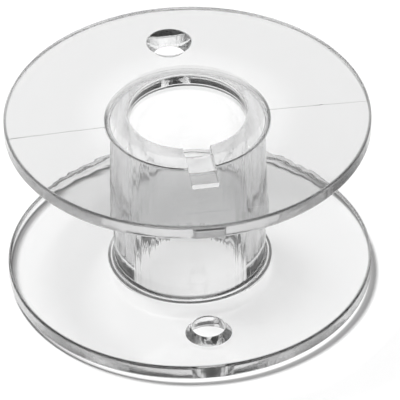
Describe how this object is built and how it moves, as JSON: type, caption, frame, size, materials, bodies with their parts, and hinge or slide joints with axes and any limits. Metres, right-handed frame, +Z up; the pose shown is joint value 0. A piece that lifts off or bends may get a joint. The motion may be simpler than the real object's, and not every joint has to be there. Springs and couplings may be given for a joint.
{
  "type": "sewing machine bobbin",
  "caption": "Clear plastic sewing machine bobbin: a hollow hub between domed flanges, with a thread hole in each flange and a drive notch at its upper end.",
  "frame": {"origin": "on the hub's axis, in the plane of the hub's lower end face, which the bobbin stands on", "axes": "+Z up along the hub's axis; +Y towards the upper flange's thread hole; the drive notch and the lower flange's thread hole are towards -Y"},
  "size_m": [0.0203, 0.0202, 0.011],
  "materials": {
    "clear_plastic": "polished, transparent and colourless"
  },
  "bodies": {
    "root": {"hub": "clear_plastic", "upper_flange": "clear_plastic", "lower_flange": "clear_plastic"}
  },
  "joints": []
}
